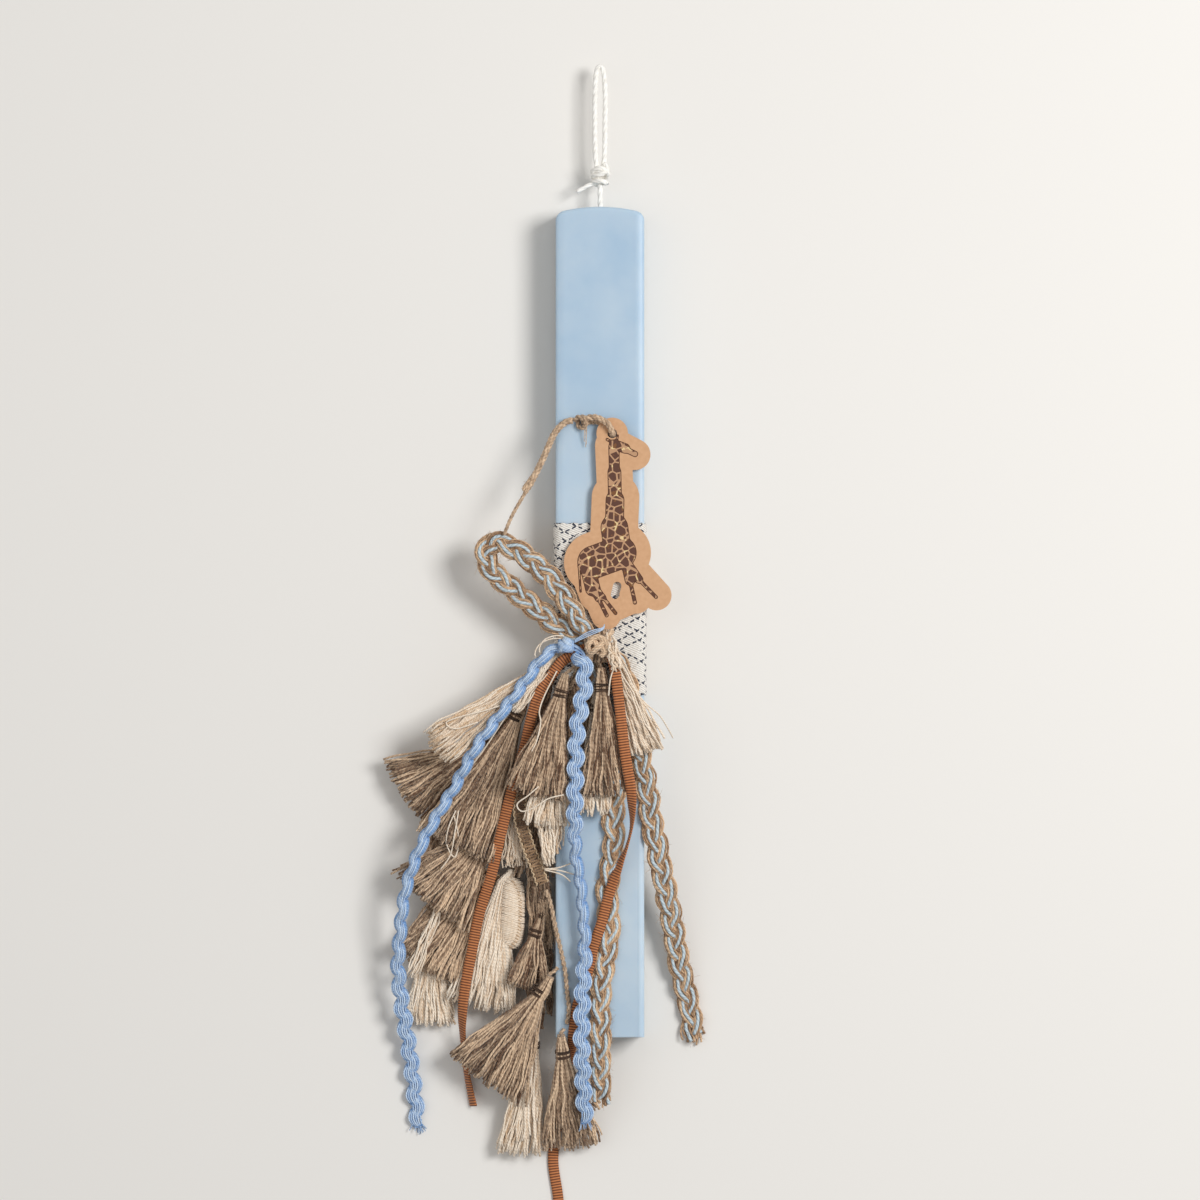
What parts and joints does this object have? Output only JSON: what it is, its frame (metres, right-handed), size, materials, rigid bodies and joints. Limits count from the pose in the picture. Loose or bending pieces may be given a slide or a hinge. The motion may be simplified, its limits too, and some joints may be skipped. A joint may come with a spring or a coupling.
{
  "type": "easter candle",
  "caption": "Flat pale blue wax candle with a looped wick, woven wrap, tied bunch of tassels, braids, rickrack and ribbons, and a card tag on twine.",
  "frame": {"origin": "middle of the candle's length and width, on the surface that its back rests on", "axes": "+Z out of the candle's front, +Y along the candle towards the wick, +X to the right of the front"},
  "size_m": [0.1148, 0.4172, 0.0312],
  "materials": {
    "wax": "satin wax, faint bloom",
    "wick_cotton": "waxed cotton",
    "woven_wrap": "ribbed ivory weave, dark dashes",
    "kraft_card": "matte kraft card, printed figure",
    "jute": "raw jute yarn",
    "braid": "jute and pale blue strands",
    "blue_rickrack": "soft cotton trim",
    "brown_grosgrain": "ribbed ribbon, slight sheen",
    "cream_cotton": "cotton strands",
    "dark_thread": "waxed thread"
  },
  "bodies": {
    "candle": {"candle_body": "wax", "wick_core": "wick_cotton", "wick_knot": "wick_cotton", "wick_loop": "wick_cotton", "wick_tail": "wick_cotton", "wrap_tape": "woven_wrap", "tag_twine_knot": "jute", "tag_twine_lead": "jute", "bunch_tie": "jute", "braid_loop": "braid", "braid_tail_centre": "braid", "braid_tail_right": "braid", "rickrack_knot": "blue_rickrack", "rickrack_left": "blue_rickrack", "rickrack_centre": "blue_rickrack", "ribbon_left": "brown_grosgrain", "ribbon_right": "brown_grosgrain", "trim_tape_front": "jute", "trim_tape_back": "jute", "trim_cord_lower": "jute", "trim_cord_twisted": "jute", "tassel_hangers": "jute", "tassel_stitches": "dark_thread"},
    "tag_twine": {"tag_twine_loop": "jute"},
    "tag": {"tag_card": "kraft_card"},
    "tassel_01": {"tassel_01_skirt": "cream_cotton", "tassel_01_binding": "cream_cotton"},
    "tassel_02": {"tassel_02_skirt": "jute", "tassel_02_binding": "dark_thread"},
    "tassel_03": {"tassel_03_skirt": "jute", "tassel_03_binding": "dark_thread"},
    "tassel_04": {"tassel_04_skirt": "jute", "tassel_04_binding": "dark_thread"},
    "tassel_05": {"tassel_05_skirt": "jute", "tassel_05_binding": "dark_thread"},
    "tassel_06": {"tassel_06_skirt": "cream_cotton", "tassel_06_binding": "cream_cotton"},
    "tassel_07": {"tassel_07_skirt": "cream_cotton", "tassel_07_binding": "cream_cotton"},
    "tassel_08": {"tassel_08_skirt": "cream_cotton", "tassel_08_binding": "cream_cotton"},
    "tassel_09": {"tassel_09_skirt": "jute", "tassel_09_binding": "dark_thread"},
    "tassel_10": {"tassel_10_skirt": "jute", "tassel_10_binding": "dark_thread"},
    "tassel_11": {"tassel_11_skirt": "cream_cotton", "tassel_11_binding": "cream_cotton"},
    "tassel_12": {"tassel_12_skirt": "cream_cotton", "tassel_12_rolled_head": "cream_cotton"},
    "tassel_13": {"tassel_13_skirt": "jute", "tassel_13_binding": "dark_thread"},
    "tassel_14": {"tassel_14_skirt": "jute", "tassel_14_binding": "dark_thread"},
    "tassel_15": {"tassel_15_skirt": "cream_cotton", "tassel_15_binding": "cream_cotton"},
    "tassel_16": {"tassel_16_skirt": "jute", "tassel_16_binding": "dark_thread"}
  },
  "joints": [
    {"name": "tag_lift", "type": "hinge", "parent": "candle", "child": "tag_twine", "pos_m": [-0.007, 0.0726, 0.019], "axis": [-1, 0, 0], "range_deg": [0, 100]},
    {"name": "tag_swing", "type": "hinge", "parent": "tag_twine", "child": "tag", "pos_m": [0.0044, 0.068, 0.019], "axis": [0, 0, 1], "range_deg": [0, 20]},
    {"name": "tassel_01_swing", "type": "hinge", "parent": "candle", "child": "tassel_01", "pos_m": [-0.0155, -0.0135, 0.0192], "axis": [0, 0, 1], "range_deg": [-8, 2.5]},
    {"name": "tassel_02_swing", "type": "hinge", "parent": "candle", "child": "tassel_02", "pos_m": [-0.0395, -0.042, 0.0058], "axis": [0, 0, 1], "range_deg": [-8, 8]},
    {"name": "tassel_03_swing", "type": "hinge", "parent": "candle", "child": "tassel_03", "pos_m": [-0.0276, -0.0285, 0.0138], "axis": [0, 0, 1], "range_deg": [-8, 2.5]},
    {"name": "tassel_04_swing", "type": "hinge", "parent": "candle", "child": "tassel_04", "pos_m": [-0.0126, -0.0194, 0.0254], "axis": [0, 0, 1], "range_deg": [-5, 5]},
    {"name": "tassel_05_swing", "type": "hinge", "parent": "candle", "child": "tassel_05", "pos_m": [0.0005, -0.0172, 0.0254], "axis": [0, 0, 1], "range_deg": [-5, 5]},
    {"name": "tassel_06_swing", "type": "hinge", "parent": "candle", "child": "tassel_06", "pos_m": [0.0048, -0.014, 0.0216], "axis": [0, 0, 1], "range_deg": [-4, 10]},
    {"name": "tassel_07_swing", "type": "hinge", "parent": "candle", "child": "tassel_07", "pos_m": [-0.0008, -0.0245, 0.0216], "axis": [0, 0, 1], "range_deg": [-3, 3]},
    {"name": "tassel_08_swing", "type": "hinge", "parent": "candle", "child": "tassel_08", "pos_m": [-0.014, -0.029, 0.0216], "axis": [0, 0, 1], "range_deg": [-6, 3]},
    {"name": "tassel_09_swing", "type": "hinge", "parent": "candle", "child": "tassel_09", "pos_m": [-0.035, -0.07, 0.0098], "axis": [0, 0, 1], "range_deg": [-8, 8]},
    {"name": "tassel_10_swing", "type": "hinge", "parent": "candle", "child": "tassel_10", "pos_m": [-0.041, -0.091, 0.0058], "axis": [0, 0, 1], "range_deg": [-8, 4]},
    {"name": "tassel_11_swing", "type": "hinge", "parent": "candle", "child": "tassel_11", "pos_m": [-0.0613, -0.1067, 0.0018], "axis": [0, 0, 1], "range_deg": [-8, 8]},
    {"name": "tassel_12_swing", "type": "hinge", "parent": "candle", "child": "tassel_12", "pos_m": [-0.03, -0.091, 0.0058], "axis": [0, 0, 1], "range_deg": [-4, 4]},
    {"name": "tassel_13_swing", "type": "hinge", "parent": "candle", "child": "tassel_13", "pos_m": [-0.0214, -0.1065, 0.0098], "axis": [0, 0, 1], "range_deg": [-8, 4]},
    {"name": "tassel_14_swing", "type": "hinge", "parent": "candle", "child": "tassel_14", "pos_m": [-0.0186, -0.1278, 0.0184], "axis": [-0.1222, -0.1682, 0.9781], "range_deg": [-8, 6]},
    {"name": "tassel_15_swing", "type": "hinge", "parent": "candle", "child": "tassel_15", "pos_m": [-0.024, -0.1465, 0.0086], "axis": [-0.0085, -0.1216, 0.9925], "range_deg": [-8, 2]},
    {"name": "tassel_16_swing", "type": "hinge", "parent": "candle", "child": "tassel_16", "pos_m": [-0.014, -0.1492, 0.0187], "axis": [0.0312, -0.357, 0.9336], "range_deg": [-3, 4]}
  ]
}
